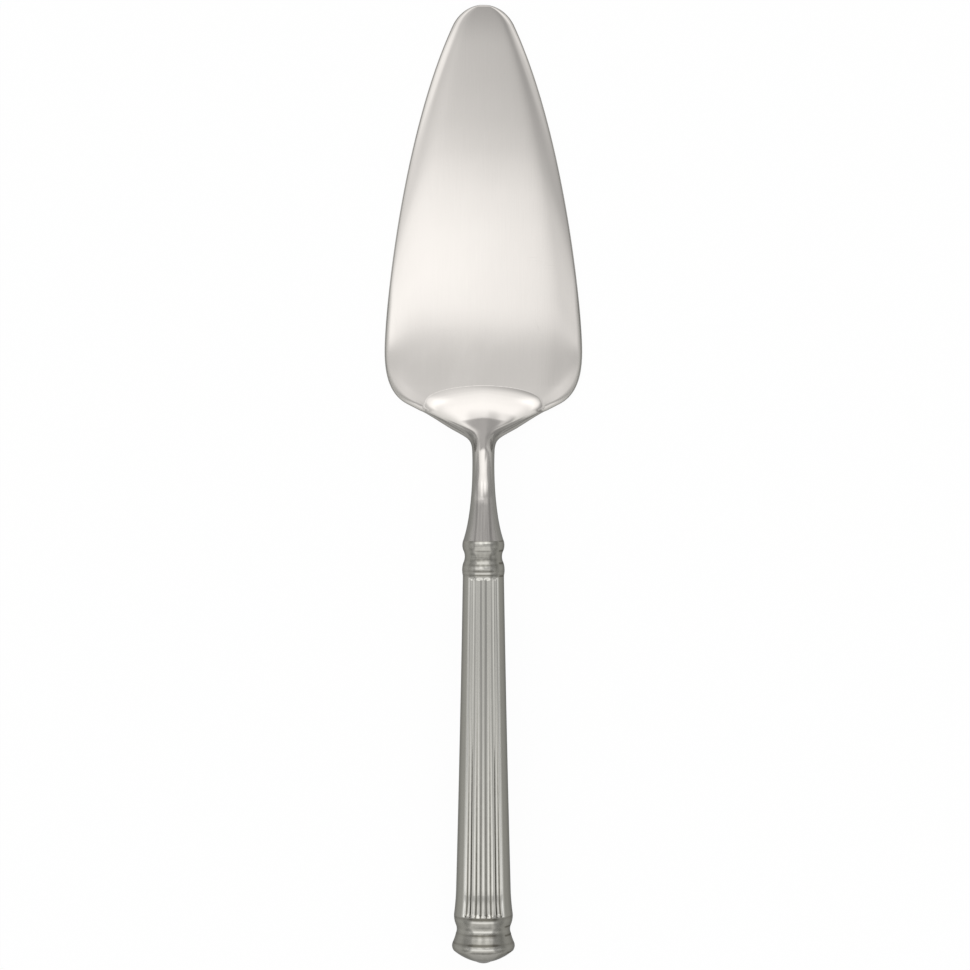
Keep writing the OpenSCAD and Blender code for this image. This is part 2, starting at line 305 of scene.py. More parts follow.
@dataclass(frozen=True)
class BladeSteel:
    """Polished steel of the blade, with hair scratches; rougher and painted darker as shade on its
    flanks, rims and crook, and painted darker as shade towards the tip and along the shank.

    Places along the server are in metres, where a change starts and where it is full.
    """

    tone: Sequence[float] = (0.615, 0.588, 0.56, 1.0)
    # Colour of the painted shade on the neck's sides and along the rims
    flank_shade: Sequence[float] = (0.25, 0.245, 0.225, 1.0)
    edge: Sequence[float] = (0.5, 0.5, 0.5, 1.0)
    gloss: float = 0.035
    neck_gloss: float = 0.11
    crook_gloss: float = 0.13
    flank_dull: float = 0.2
    wear_dull: float = 0.03
    neck: Point = (0.012, 0.004)
    # Painted shade towards the tip: where it begins and is full, and how strong
    tip: Point = (0.119, 0.135)
    tip_shade: float = 0.3
    # Painted shade along the shank, and streaks of painted reflection along the grain there
    shank: Point = (-0.0036, -0.006)
    shank_shade: float = 0.32
    shank_reflected_streaks: float = 0.35
    # Painted shade in the crook, which is also rougher: its edges along the server and across, and
    # how strong
    crook_top: Point = (0.0206, 0.0176)
    crook_foot: Point = (0.0085, 0.0115)
    crook_side: Point = (0.0055, 0.003)
    crook_shade: float = 0.2

    def scratches(self, board: Board, turn: float, along: float, across: float,
                  rarity: float) -> Wire:
        """Fine broken lines in one direction.

        Args:
            board: the material's board.
            turn: direction of the lines, in degrees from X.
            along: patches for each metre along a line.
            across: lines for each metre across.
            rarity: from 0 to 1, how much of the surface is left bare.

        Returns:
            1 on a line and 0 beside it.
        """
        lines = board.noise(turn, (along, across, across), 2.0)
        patches = board.noise(turn + 20.0, (60.0, 110.0, 60.0), 1.0)
        return abs(lines - 0.5).ease(0.012, 0.0) * patches.ease(rarity, rarity + 0.12)

    def material(self) -> bpy.types.Material:
        """Makes the material."""
        made, board = new_material("blade_steel")
        flank_shade = board.attribute(FLANK)
        x, y = board.split(board.place())[:2]
        smudge = board.noise(24.0, (55.0, 26.0, 40.0), 3.0, 0.6)
        grain = board.noise(0.0, (2600.0, 90.0, 900.0), 2.0, 0.65)
        along = self.scratches(board, 68.0, 30.0, 1100.0, 0.64)
        lines = self.scratches(board, 4.0, 22.0, 900.0, 0.6).most(along)
        # Painted shade along the shank, towards the tip and in the crook, with streaks of painted
        # reflection along the grain on the shank
        shank = y.ease(*self.shank) * (1.0 - flank_shade)
        crook = y.ease(*self.crook_top) * y.ease(*self.crook_foot) * abs(x).ease(*self.crook_side)
        dim = (1.0 - self.tip_shade * y.ease(*self.tip)) * (1.0 - self.shank_shade * shank)
        dim = dim * (1.0 - self.crook_shade * crook) + self.shank_reflected_streaks * (shank * (grain - 0.5))
        # Painted shade together with smudges, grain and scratches of wear
        tone_scale = dim * (0.94 + 0.09 * smudge + 0.03 * grain) * (1.0 - 0.05 * lines)
        rough = self.gloss + (self.neck_gloss - self.gloss) * y.ease(*self.neck)
        rough = rough + (self.crook_gloss - self.gloss) * crook + self.flank_dull * flank_shade
        board.surface({
            "Base Color": board.shaded(board.blend(flank_shade, self.tone, self.flank_shade), tone_scale),
            "Metallic": 1.0,
            "Roughness": rough + self.wear_dull * smudge.ease(0.5, 0.8) + self.wear_dull * lines,
            "Specular Tint": self.edge,
            "Normal": board.bump(grain - 0.2 * lines, 0.04, 0.00002),
        })
        return made


@dataclass(frozen=True)
class HandleSteel:
    """Polished steel of the handle, rougher where painted shade lies on its flanks, rings and flute
    walls, with painted highlights on the outer ridges.
    """

    tone: Sequence[float] = (0.58, 0.57, 0.53, 1.0)
    # Colour of the painted shade on the flanks
    flank_shade: Sequence[float] = (0.265, 0.26, 0.233, 1.0)
    # Colour of the painted shade in the rings, specks and flute walls
    dark: Sequence[float] = (0.13, 0.124, 0.105, 1.0)
    # Colour of the painted highlight
    bright: Sequence[float] = (0.93, 0.92, 0.87, 1.0)
    edge: Sequence[float] = (0.4, 0.4, 0.4, 1.0)
    gloss: float = 0.07
    shade_dull: float = 0.12
    flank_dull: float = 0.2
    mottle_dull: float = 0.03

    def material(self) -> bpy.types.Material:
        """Makes the material."""
        made, board = new_material("handle_steel")
        flank_shade, painted_light = board.attribute(FLANK), board.attribute(PAINTED_LIGHT)
        ripple = board.noise(0.0, (420.0, 150.0, 420.0), 2.0, 0.5)
        mottle = board.noise(11.0, (900.0, 700.0, 900.0), 3.0, 0.6)
        hair = board.noise(3.0, (3200.0, 60.0, 3200.0), 2.0, 0.6)
        # Painted shade where the layer is positive, varied in strength by a noise that also varies
        # the roughness; painted highlight where it is negative
        shade = (painted_light * (0.62 + 0.36 * mottle)).ease(0.0, 1.1)
        painted_highlight = (0.0 - painted_light).ease(0.0, 1.0)
        tone = board.blend(painted_highlight, board.blend(flank_shade, self.tone, self.flank_shade), self.bright)
        tone_scale = 0.95 + 0.06 * ripple + 0.04 * hair
        rough = self.gloss + self.shade_dull * shade + self.flank_dull * flank_shade
        board.surface({
            "Base Color": board.shaded(board.blend(shade, tone, self.dark), tone_scale),
            "Metallic": 1.0,
            "Roughness": rough + self.mottle_dull * mottle,
            "Specular Tint": self.edge,
            "Normal": board.bump(ripple + 0.08 * hair, 0.05, 0.0001),
        })
        return made


@dataclass(frozen=True)
class BrazeMetal:
    """Thin line of silver braze, a little duller and warmer than the steel beside it."""

    tone: Sequence[float] = (0.46, 0.43, 0.35, 1.0)
    dark: Sequence[float] = (0.26, 0.24, 0.19, 1.0)

    def material(self) -> bpy.types.Material:
        """Makes the material."""
        made, board = new_material("seam_braze_metal")
        flow = board.noise(0.0, (900.0, 500.0, 900.0), 3.0, 0.6)
        board.surface({
            "Base Color": board.blend(flow.ease(0.4, 0.75), self.tone, self.dark),
            "Metallic": 1.0,
            "Roughness": 0.2 + 0.2 * flow,
            "Normal": board.bump(flow, 0.1, 0.00005),
        })
        return made


@dataclass(frozen=True)
class SettingCement:
    """Grainy cement that fills the handle."""

    tone: Sequence[float] = (0.46, 0.38, 0.28, 1.0)
    dark: Sequence[float] = (0.27, 0.2, 0.13, 1.0)

    def material(self) -> bpy.types.Material:
        """Makes the material."""
        made, board = new_material("setting_cement")
        grit = board.noise(0.0, (1400.0, 1400.0, 1400.0), 5.0, 0.65)
        board.surface({
            "Base Color": board.blend(grit.ease(0.35, 0.7), self.dark, self.tone),
            "Roughness": 0.75 + 0.2 * grit,
            "Normal": board.bump(grit, 0.5, 0.0003),
        })
        return made


@dataclass(frozen=True)
class PaleFloor:
    """Matt white sheet that the server lies on."""

    tone: Sequence[float] = (0.86, 0.86, 0.855, 1.0)
    fibre: Sequence[float] = (0.84, 0.84, 0.835, 1.0)
    white: Sequence[float] = (1.0, 1.0, 1.0, 1.0)
    lift: float = 0.95

    def material(self) -> bpy.types.Material:
        """Makes the material, white to the camera and in the metal, with a light shadow."""
        made, board = new_material("pale_floor")
        fibre = board.noise(0.0, (300.0, 300.0, 300.0), 4.0)
        matt = board.node("ShaderNodeBsdfPrincipled", {}, {
            "Base Color": board.blend(fibre.ease(0.2, 0.9), self.tone, self.fibre),
            "Roughness": 0.9,
            "Specular IOR Level": 0.1,
        })
        white = board.node("ShaderNodeEmission", {}, {"Color": self.white, "Strength": 1.0})
        rays = [board.node("ShaderNodeLightPath", {}, {}, name)
                for name in ("Is Camera Ray", "Is Glossy Ray", "Is Transmission Ray")]
        seen = rays[0].most(rays[1]).most(rays[2])
        shader = board.node("ShaderNodeMixShader", {}, {0: seen * self.lift, 1: matt, 2: white})
        board.node("ShaderNodeOutputMaterial", {}, {"Surface": shader})
        return made


def finish_mesh(bm: bmesh.types.BMesh, name: str, crease: float) -> bpy.types.Object:
    """Turns a bmesh in millimetres into an object at the origin.

    Args:
        bm: the mesh, which is freed.
        name: name of the piece.
        crease: angle in degrees past which an edge stays sharp.

    Returns:
        The object, linked to the scene.
    """
    bmesh.ops.scale(bm, vec=(MM, MM, MM), verts=bm.verts)
    bmesh.ops.recalc_face_normals(bm, faces=bm.faces)
    mesh = bpy.data.meshes.new(name)
    bm.to_mesh(mesh)
    bm.free()
    for polygon in mesh.polygons:
        polygon.use_smooth = True
    mesh.set_sharp_from_angle(angle=math.radians(crease))
    made = bpy.data.objects.new(name, mesh)
    bpy.context.scene.collection.objects.link(made)
    return made


def close_holes(bm: bmesh.types.BMesh) -> None:
    """Fills every open loop of a mesh."""
    rims = [e for e in bm.edges if len(e.link_faces) == 1]
    bmesh.ops.holes_fill(bm, edges=rims, sides=0)


def dress(piece: bpy.types.Object, made: bpy.types.Material) -> None:
    """Gives a piece its material."""
    piece.data.materials.clear()
    piece.data.materials.append(made)


@dataclass(frozen=True)
class Shared:
    """Sizes in millimetres that more than one sub-assembly needs."""

    blade_t: float = 1.4
    joint_h: float = 13.1
    mouth_r: float = 5.5
    pommel_r: float = 8.6
    handle_l: float = 116.2
    foot_share: float = 0.957
    rest_clear: float = 0.1

    def slope(self) -> float:
        """Slope of the handle in radians, with its pommel just clear of the table."""
        foot_l = self.foot_share * self.handle_l
        drop = (self.joint_h - self.rest_clear) / math.hypot(foot_l, self.pommel_r)
        return math.asin(drop) - math.atan2(self.pommel_r, foot_l)


@dataclass
class Swan:
    """Path of the neck: a crease, two bends with a straight rise between them, and the shank."""

    slope: float
    hang: float
    joint_h: float
    reach: float = 42.4
    steep_share: float = 0.772
    heel_bend_share: float = 0.445
    shank_share: float = 0.234
    crease: float = math.radians(3.0)

    def __post_init__(self) -> None:
        """Works out the bends from the reach and the height."""
        shank = self.shank_share * self.reach
        self.path_reach = self.reach + self.hang * math.sin(self.slope)
        dy = self.path_reach - shank * math.cos(self.slope)
        dz = self.joint_h + self.hang * math.cos(self.slope) + shank * math.sin(self.slope)
        heel = self.heel_bend_share
        self.rise = 2 * math.atan2(dz, dy) * self.steep_share
        neck = 1 - heel
        bends_dy = math.sin(self.rise) - heel * math.sin(self.crease) + neck * math.sin(self.slope)
        bends_dz = heel * math.cos(self.crease) + neck * math.cos(self.slope) - math.cos(self.rise)
        turn = bends_dy * math.sin(self.rise) - bends_dz * math.cos(self.rise)
        radii = (dy * math.sin(self.rise) - dz * math.cos(self.rise)) / turn
        rise_l = (dz * bends_dy - dy * bends_dz) / turn
        self.heel_r = radii * heel
        self.neck_r = radii - self.heel_r
        self.crease_d = self.heel_r * math.sin(self.crease)
        self.bend_1 = self.heel_r * math.sin(self.rise) - self.crease_d
        self.bend_2 = self.bend_1 + rise_l * math.cos(self.rise)
        self.bend_3 = self.bend_2 + self.neck_r * (math.sin(self.rise) + math.sin(self.slope))
        self.rise_1 = self.heel_r * (math.cos(self.crease) - math.cos(self.rise))
        self.rise_2 = self.rise_1 + rise_l * math.sin(self.rise)
        self.rise_3 = self.rise_2 + self.neck_r * (math.cos(self.slope) - math.cos(self.rise))

    def at(self, d: float) -> tuple[float, float]:
        """Angle and height of the path.

        Args:
            d: distance beyond the scoop's edge, in millimetres.

        Returns:
            The angle in radians and the height in millimetres.
        """
        if d <= 0:
            return 0.0, 0.0
        if d < self.bend_1:
            angle = math.asin((d + self.crease_d) / self.heel_r)
            return angle, self.heel_r * (math.cos(self.crease) - math.cos(angle))
        if d < self.bend_2:
            return self.rise, self.rise_1 + (d - self.bend_1) * math.tan(self.rise)
        if d < self.bend_3:
            angle = math.asin(math.sin(self.rise) - (d - self.bend_2) / self.neck_r)
            return angle, self.rise_2 + self.neck_r * (math.cos(angle) - math.cos(self.rise))
        return -self.slope, self.rise_3 - (d - self.bend_3) * math.tan(self.slope)


@dataclass
class Blade:
    """Blade, heel, swan neck and bolster, forged in one."""

    half_w: float
    tip_y: float
    swan: Swan
    mid_t: float
    mouth_r: float
    length: float = 105.4
    tip_t: float = 1.3
    rim_t: float = 1.1
    rim_grows: float = 0.1
    rim_grows_at: Point = (-44.0, -4.0)
    neck_w: float = 5.8
    neck_t: float = 4.6
    scoop_w: float = 15.9
    scoop_l: float = 4.4
    scoop_end_share: float = 0.99
    spine_w: float = 3.5
    side_share: float = 0.7
    neck_full_share: float = 0.45
    oval_from: float = 0.19
    crown_power: float = 10.0
    bolster_into: float = 0.6
    # Painted shade on the neck's sides: where it begins and is full, as shares of the half width
    flank_at: Point = (0.5, 0.82)
    bottom_steps: int = 24
    rim_steps: int = 16
    top_steps: int = 160

    # Runs of the outline, as shares of the blade's half width and length, and then of the neck's
    TIP = ((0.0, 1.0), (0.137, 1.0), (0.255, 0.977), (0.312, 0.945))
    SIDE = ((0.312, 0.945), (0.819, 0.6615), (1.0, 0.2), (1.0, 0.0916))
    SHOULDER = ((1.0, 0.0916), (1.0, 0.0205), (0.933, -0.0255), (0.77, -0.0472))
    BASE = ((0.77, -0.0472), (0.6, -0.07), (0.43, -0.0925), (0.262, -0.1142))
    ROOT = (0.168, -0.1272)
    FOOT = ((1.11, 0.33), (1.06, 0.412))
    FLARE = ((0.98, 0.556), (1.055, 0.83))
    STEPS = (36, 64, 80, 40, 34, 50)
    NOSE = 0.012
    # Band of painted shade, also rougher, along the rim: how strong, how wide, and where it begins
    # and is full below the heel
    UPPER_RIM = (0.6, 1.2)
    LOWER_RIM, LOWER_RIM_AT = (0.9, 1.55), (-30.0, -20.0)
    BASE_RIM, BASE_DULL_AT, BASE_WIDE_AT = (0.8, 3.4), (-4.0, 0.0), (-5.0, 4.0)
    # Painted shade at the corners of the base: how strong, how wide, and where it begins and is
    # full
    CORNER, CORNER_AT = (0.25, 4.5), (-11.0, -6.0)

    def __post_init__(self) -> None:
        """Works out the lines across the blade and the neck."""
        self.heel_y = self.tip_y - self.length
        self.joint_y = self.heel_y - self.swan.reach
        self.end_y = self.heel_y - self.swan.path_reach

    def outline(self) -> list[Point]:
        """Half widths and places of the sections, from the tip to the handle."""
        def on_blade(s: Point) -> Point:
            """Place from shares of the blade's half width and length."""
            return s[0] * self.half_w, self.heel_y + s[1] * self.length

        def on_neck(s: Point) -> Point:
            """Place from shares of the neck's half width and reach."""
            return s[0] * self.neck_w / 2, self.heel_y - s[1] * self.swan.reach

        foot = (on_blade(self.BASE[3]), on_blade(self.ROOT), *map(on_neck, self.FOOT))
        flare = (foot[3], *map(on_neck, self.FLARE), (self.mouth_r, self.end_y))
        edges = (self.TIP, self.SIDE, self.SHOULDER, self.BASE)
        runs = [[on_blade(s) for s in edge] for edge in edges]
        found = [bezier(runs[0], self.NOSE)]
        for run, steps in zip([*runs, foot, flare], self.STEPS):
            found += [bezier(run, (i + 1) / steps) for i in range(steps)]
        return found + [(self.mouth_r, self.end_y - self.bolster_into)]

    def neck_share(self, y: float) -> float:
        """How far the thickness has grown from the blade's to the neck's."""
        return ease((self.heel_y - y) / (self.neck_full_share * self.swan.reach))

    def oval_share(self, y: float) -> float:
        """How far the section has turned from a plate to the neck's oval."""
        return between((self.heel_y - y) / self.swan.reach, self.oval_from, self.neck_full_share)

    def plate(self, y: float) -> float:
        """Thickness of the blade along its middle at y."""
        return mix(self.mid_t, self.tip_t, max(0.0, y - self.heel_y) / self.length)

    def core(self, y: float) -> float:
        """Thickness in the middle of the section at y, without the bolster."""
        return mix(self.plate(y), self.neck_t, self.neck_share(y))

    def beside(self, y: float) -> float:
        """Thickness beside the spine at y."""
        return mix(self.plate(y), self.core(y), self.side_share)

    def thickness(self, w: float, y: float) -> float:
        """Thickness in the middle of the section at y, of half width w."""
        if y > self.heel_y - self.neck_full_share * self.swan.reach:
            return self.core(y)
        bolster = max(0.0, (w - self.neck_w / 2) / (self.mouth_r - self.neck_w / 2))
        return mix(self.core(y), 2 * self.mouth_r, bolster)

    def scoop_bow(self, x: float) -> float:
        """How far the scoop's edge lies behind the heel line, x off the middle."""
        u = abs(x) / self.scoop_w
        near = min(u, self.scoop_end_share)
        q = math.sqrt(1 - near * near)
        return self.scoop_l * (1 - q + (u - near) * near / q)

    def local_y(self, x: float, y: float) -> float:
        """Place along the middle whose bend and thickness hold at a point."""
        return y if y >= self.heel_y else min(self.heel_y, y + self.scoop_bow(x))

    def rim(self, w: float, y: float) -> float:
        """Radius of the rim, which grows rounder towards the neck."""
        rim_t = self.rim_t + self.rim_grows * between(self.heel_y - y, *self.rim_grows_at)
        return min(w, self.beside(self.local_y(w, y)) - self.plate(y) + rim_t) / 2

    def top(self, x: float, y: float) -> float:
        """Thickness x off the middle, which runs out from the spine."""
        near = self.local_y(x, y)
        return mix(self.beside(near), self.core(near), 1 / (1 + (x / self.spine_w) ** 2))

    def on_plate(self, face: Face, u: float, w: float, y: float, e: float) -> Point:
        """Point on the section of a plate with rounded rims.

        Args:
            face: run that the point is on.
            u: share of the way along the run.
            w: half width.
            y: place along the server.
            e: radius of the rims.

        Returns:
            The point across and up from the lowest face.
        """
        if face is Face.BOTTOM:
            return mix(e - w, w - e, u), 0.0
        if face is Face.TOP:
            off = 1 - 2 * u
            x = off * (w - e)
            return x, 2 * e + (self.top(x, y) - 2 * e) * (1 - abs(off) ** self.crown_power)
        side = 1 if face is Face.RIGHT else -1
        around = math.pi * u
        return side * (w - e + e * math.sin(around)), e - side * e * math.cos(around)

    def section(self, w: float, y: float, e: float) -> list[Point]:
        """Section across the forging, a plate in the blade and an oval in the neck.

        Args:
            w: half width.
            y: place along the server.
            e: radius of the rounded rims.

        Returns:
            Points across and up from the lowest face, once around.
        """
        found = []
        t, oval = self.thickness(w, y), self.oval_share(self.local_y(w, y))
        runs = ((Face.BOTTOM, self.bottom_steps), (Face.RIGHT, self.rim_steps),
                (Face.TOP, self.top_steps), (Face.LEFT, self.rim_steps))
        for face, steps in runs:
            for i in range(steps):
                u = i / steps
                turn = face.value + math.pi / 2 * u
                plate = self.on_plate(face, u, w, y, e)
                ring = (w * math.cos(turn), t / 2 * (1 + math.sin(turn)))
                found.append((mix(plate[0], ring[0], oval), mix(plate[1], ring[1], oval)))
        return found

    def ring(self, w: float, y: float) -> list[tuple[Vector, float]]:
        """Section at y, laid on the neck's path.

        Args:
            w: half width of the section.
            y: its place along the server.

        Returns:
            Each point with its share of the painted shade on the flanks and rims.
        """
        e, bolster = self.rim(w, y), self.thickness(w, y) - self.core(y)
        inset = min(1.0, 2 * (self.tip_y - y) / self.rim_t)
        flat = math.sqrt(max(0.0, 1 - (1 - inset) ** 2))
        found = []
        for x, up in self.section(w, y, e):
            near = self.local_y(x, y)
            n = mix(e, up, flat) - self.core(near) + self.plate(near) - bolster
            angle, z = self.swan.at(self.heel_y - near)
            place = Vector((x, y + n * math.sin(angle), z + n * math.cos(angle)))
            neck = self.neck_share(y) * between(abs(x) / w, *self.flank_at)
            found.append((place, max(neck, self.rim_shade(w - abs(x), y))))
        return found

    def rim_shade(self, inside: float, y: float) -> float:
        """Share of the band of painted shade along the rim.

        Args:
            inside: distance inside the outline.
            y: place along the server.

        Returns:
            1 where the painted shade is full, 0 where there is none.
        """
        below = self.heel_y - y
        low = between(below, *self.LOWER_RIM_AT)
        shade_share, width = (mix(a, b, low) for a, b in zip(self.UPPER_RIM, self.LOWER_RIM))
        shade_share = mix(shade_share, self.BASE_RIM[0], between(below, *self.BASE_DULL_AT))
        width = mix(width, self.BASE_RIM[1], between(below, *self.BASE_WIDE_AT))
        corner, corner_w = self.CORNER
        corner *= between(below, *self.CORNER_AT)
        return max(shade_share * ease(1 - inside / width), corner * ease(1 - inside / corner_w))

    def build(self) -> bpy.types.Object:
        """Bends a sheet around the sections and closes its ends."""
        rings = [self.ring(w, y) for w, y in self.outline()]
        around = len(rings[0])
        bm = bmesh.new()
        flank_shade = bm.verts.layers.float.new(FLANK)
        bmesh.ops.create_grid(bm, x_segments=len(rings) - 1, y_segments=around, size=1.0)
        for v in bm.verts:
            row = round((v.co.x + 1) / 2 * (len(rings) - 1))
            place = round((v.co.y + 1) / 2 * around) % around
            v.co, v[flank_shade] = rings[row][place]
        bmesh.ops.remove_doubles(bm, verts=bm.verts, dist=0.0002)
        close_holes(bm)
        return finish_mesh(bm, "server_blade", 50.0)


@dataclass(frozen=True)
class Turn:
    """End of one arc of the handle's outline: radius, share of the length, height of the arc."""

    r: float
    share: float
    bulge: float


@dataclass
class Handle:
    """Hollow handle of two pressed halves, with four flutes on each face."""

    joint_y: float
    joint_h: float
    slope: float
    length: float
    mouth_r: float
    pommel_r: float
    wall: float = 1.2
    bore_r: float = 4.2
    braze_t: float = 0.12
    flute_count: int = 4
    pitch: float = math.radians(21.5)
    top_depth: float = 0.26
    low_depth: float = 0.62
    ridge_power: float = 0.8
    flute_from: float = 9.95
    flute_to: float = 102.6
    end_share: float = 0.6
    around_steps: int = 264
    arc_steps: int = 16
    shaft_steps: int = 440
    flare_steps: int = 34
    shaft_skip: int = 16
    fine_l: float = 4.5

    # Painted shade on the flanks, as angles from the middle of the face where it begins and where
    # it is full
    flank_at: Point = (0.3, 0.7)
    fluted_flank_at: Point = (0.74, 0.88)
    left_flank: float = 0.9
    # Painted shade on the middle of the face at the cuff and pommel and at the foot, and the share
    # of it that the flanks lose
    cuff_shade: float = 0.65
    foot_shade: float = 0.8
    flank_loss: float = 0.7
    # Painted shade in specks at the right end of the creases: strength, angles and width
    speck: float = 1.3
    speck_at: Point = (0.8, 0.95)
    speck_w: float = 0.3
    # Painted shade in the walls of the flutes, from the top to the foot, and its place and width in
    # pitches
    wall_shade: Point = (0.1, 1.3)
    wall_at: Point = (0.23, 0.1)
    # Painted highlight on the outer ridges, from the top to the foot, and its place inside the
    # ridge and width
    gleam: Point = (0.5, 1.0)
    gleam_at: Point = (0.012, 0.042)

    # Numbers of the turns at the foot of the shaft, of the flare below it and of the pommel's ring
    SHAFT, FLARE, RING = 4, 5, 9
    CREASES = (0, 1, 2, 3, 5, 6, 7, 9)
    # Painted shade in the grooves of the rings, and less of it on their crests as negative
    # strengths:
    # distance from the mouth, width, strength
    MARKS = (
        (-0.1, 0.3, 0.4), (0.55, 0.3, -0.4), (2.73, 0.15, 0.3), (4.0, 0.8, 0.25), (5.2, 0.4, 0.25),
        (5.9, 0.2, -0.2), (6.6, 0.25, 0.4), (7.35, 0.25, -0.75), (8.3, 0.22, 0.6),
        (8.8, 0.2, -0.3), (9.35, 0.18, 0.75), (103.0, 0.27, 0.9), (103.85, 0.22, -0.65),
        (106.55, 0.35, -0.75), (107.55, 0.25, 0.6), (108.4, 0.3, -0.15), (110.1, 0.27, 1.1),
        (111.1, 0.35, -0.8),
    )

    def __post_init__(self) -> None:
        """Lists the turns of the outline."""
        big = self.pommel_r
        self.turns = (
            Turn(self.mouth_r, 0.0, 0.0),
            Turn(self.mouth_r, 0.0235, 0.045),
            Turn(self.mouth_r, 0.053, -0.075),
            Turn(5.62, 0.083, 0.044),
            Turn(7.5, 0.828, -0.02),
            Turn(8.06, 0.882, -0.014),
            Turn(7.56, 0.907, 0.03),
            Turn(7.56, 0.928, -0.045),
            Turn(big * 0.975, 0.949, -0.012),
            Turn(big * 0.955, 0.9675, 0.054),
            Turn(big * 0.26, 0.9945, 0.07),
            Turn(0.0, 1.0, 0.02),
        )
        self.creases = tuple(self.turns[i].share * self.length for i in self.CREASES)

    def arc(self, p: Vector, q: Vector, bulge: float, steps: int) -> list[Vector]:
        """Arc between two points of the outline.

        Args:
            p: first point, radius and distance.
            q: last point.
            bulge: height of the arc, outward positive.
            steps: parts of the arc.

        Returns:
            The points after the first.
        """
        chord = (q - p).length
        side = Vector((q.y - p.y, p.x - q.x)) / chord
        r = (chord ** 2 / 4 + bulge ** 2) / (2 * bulge)
        half = math.asin(chord / 2 / r)
        middle = (p + q) / 2 - side * (r - bulge)
        turns = [mix(-half, half, (i + 1) / steps) for i in range(steps)]
        return [middle + r * (side * math.cos(a) + (q - p) / chord * math.sin(a)) for a in turns]

    def outer(self) -> list[Vector]:
        """Outer outline from the mouth to the end of the pommel."""
        ends = [Vector((t.r, t.share * self.length)) for t in self.turns]
        found = [ends[0]]
        for i in range(1, len(ends)):
            special = {self.SHAFT: self.shaft_steps, self.FLARE: self.flare_steps}
            bulge = self.turns[i].bulge * self.mouth_r
            run = self.arc(ends[i - 1], ends[i], bulge, special.get(i, self.arc_steps))
            if i == self.SHAFT:
                # The shaft needs short steps only where the flutes begin
                fine_to = self.flute_from + self.fine_l
                run = [p for k, p in enumerate(run, 1) if p.y < fine_to or k % self.shaft_skip == 0]
            found += run
        return found

    def inner(self) -> list[Vector]:
        """Outline of the hollow, from the pommel back to the mouth."""
        def inside(i: int) -> Vector:
            """Place one wall inside a turn."""
            return Vector((self.turns[i].r - self.wall, self.turns[i].share * self.length))

        found = [
            Vector((self.bore_r, 0.0)),
            Vector((self.bore_r, self.turns[3].share * self.length)),
            inside(4), inside(5), inside(6), inside(7), inside(8),
            inside(self.RING) - Vector((0.0, self.wall / 2)),
            Vector((self.turns[10].r, self.turns[10].share * self.length - self.wall)),
            Vector((0.0, self.length - self.wall)),
        ]
        return found[::-1]

    def shaft_r(self, z: float) -> float:
        """Radius of the shaft at z, before the flutes."""
        end = self.SHAFT if z < self.turns[self.SHAFT].share * self.length else self.FLARE
        p, q = self.turns[end - 1], self.turns[end]
        return mix(p.r, q.r, (z / self.length - p.share) / (q.share - p.share))

    def flute(self, turn: float, z: float) -> float:
        """Depth of the flutes as a share of the full depth.

        Args:
            turn: angle from the middle of the face.
            z: distance from the mouth.

        Returns:
            1 along the bottom of a flute, 0 on a ridge and beside the flutes.
        """
        span = self.end_share * self.pitch * self.shaft_r(z)
        over = max(0.0, self.flute_from + span / 2 - z, z - self.flute_to + span / 2) / span
        off = math.hypot(self.across(turn), over)
        return 0.0 if off >= 0.5 else 1 - math.sin(math.pi * off) ** (2 * self.ridge_power)

    def across(self, turn: float) -> float:
        """Distance from the middle of the nearest flute, in pitches."""
        half = (self.flute_count - 1) / 2
        return turn / self.pitch - min(half, max(-half, round(turn / self.pitch + half) - half))

    def face_shade(self, z: float) -> float:
        """Share of painted shade on the middle of the face at z."""
        ring_z = self.turns[self.RING].share * self.length
        level = self.foot_shade if self.flute_from <= z <= ring_z else self.cuff_shade
        return max(0.0, level + sum(deep * bell(z, at, wide) for at, wide, deep in self.MARKS))

    def build(self, side: Side) -> bpy.types.Object:
        """Spins half of the shell and presses its flutes.

        Args:
            side: which of the two halves.

        Returns:
            The half shell.
        """
        bm = bmesh.new()
        layers = [bm.verts.layers.float.new(name) for name in (FLANK, PAINTED_LIGHT)]
        profile = self.outer() + self.inner()
        first = last = bm.verts.new((profile[0].x, 0.0, profile[0].y))
        for p in profile[1:]:
            made = bmesh.ops.extrude_vert_indiv(bm, verts=[last])
            last = made["verts"][0]
            last.co = (p.x, 0.0, p.y)
        bm.edges.new((last, first))
        bmesh.ops.spin(bm, geom=[*bm.verts, *bm.edges], cent=(0, 0, 0), axis=(0, 0, 1),
                       dvec=(0, 0, 0), angle=math.pi, steps=self.around_steps,
                       use_merge=False, use_duplicate=False)
        bmesh.ops.remove_doubles(bm, verts=bm.verts, dist=0.0005)
        bmesh.ops.dissolve_degenerate(bm, edges=bm.edges, dist=0.0001)
        loose = [e for e in bm.edges if not e.link_faces]
        bmesh.ops.delete(bm, geom=loose, context="EDGES")
        for v in bm.verts:
            self._press(v, *layers)
        close_holes(bm)
        shift = Matrix.Translation((0.0, self.braze_t / 2, 0.0))
        spot = Matrix.Translation((0.0, self.joint_y, self.joint_h))
        lie = Matrix.Rotation(math.pi / 2 + self.slope, 4, "X")
        face = Matrix.Rotation(side.value, 4, "Z")
        bmesh.ops.transform(bm, matrix=spot @ lie @ face @ shift, verts=bm.verts)
        return finish_mesh(bm, f"handle_{side.name.lower()}", 40.0)

